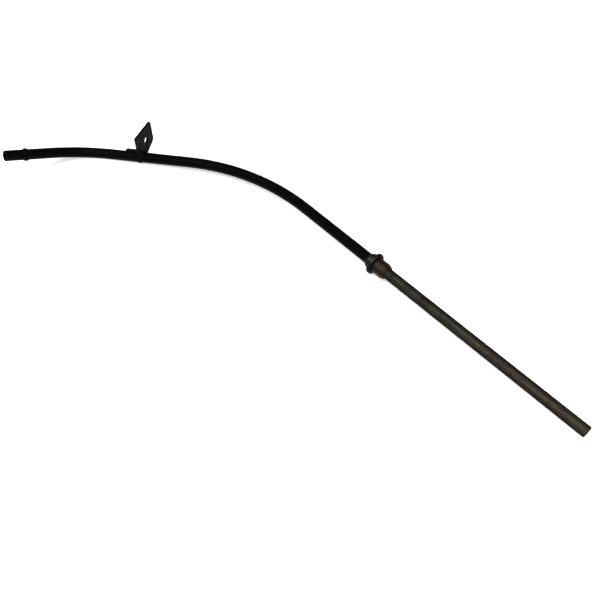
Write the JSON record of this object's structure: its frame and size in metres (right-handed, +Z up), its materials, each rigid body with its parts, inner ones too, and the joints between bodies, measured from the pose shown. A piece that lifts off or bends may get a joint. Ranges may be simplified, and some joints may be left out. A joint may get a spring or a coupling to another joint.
{
  "type": "oil dipstick tube",
  "caption": "Bent steel oil dipstick guide tube with a beaded mouth, a welded bolt bracket, and a stop collar and rubber seal ring above a straight spigot.",
  "frame": {"origin": "on the surface that the tube lies on, under the middle of its bounding box", "axes": "+X along the straight lower leg towards its tip, within 1.4 degrees; +Z up, as the tube lies on its tip, its stop collar and its top bend"},
  "size_m": [0.5102, 0.1758, 0.0365],
  "materials": {
    "tube_steel": "black semi-gloss paint above the collar, oiled bare steel below it",
    "collar_steel": "turned, dull and stained",
    "seal_rubber": "brown, slightly glossy",
    "bracket_paint": "dull black paint, worn grey"
  },
  "bodies": {
    "root": {"guide_tube": "tube_steel", "stop_collar": "collar_steel", "seal_ring": "seal_rubber", "mounting_bracket": "bracket_paint"}
  },
  "joints": []
}
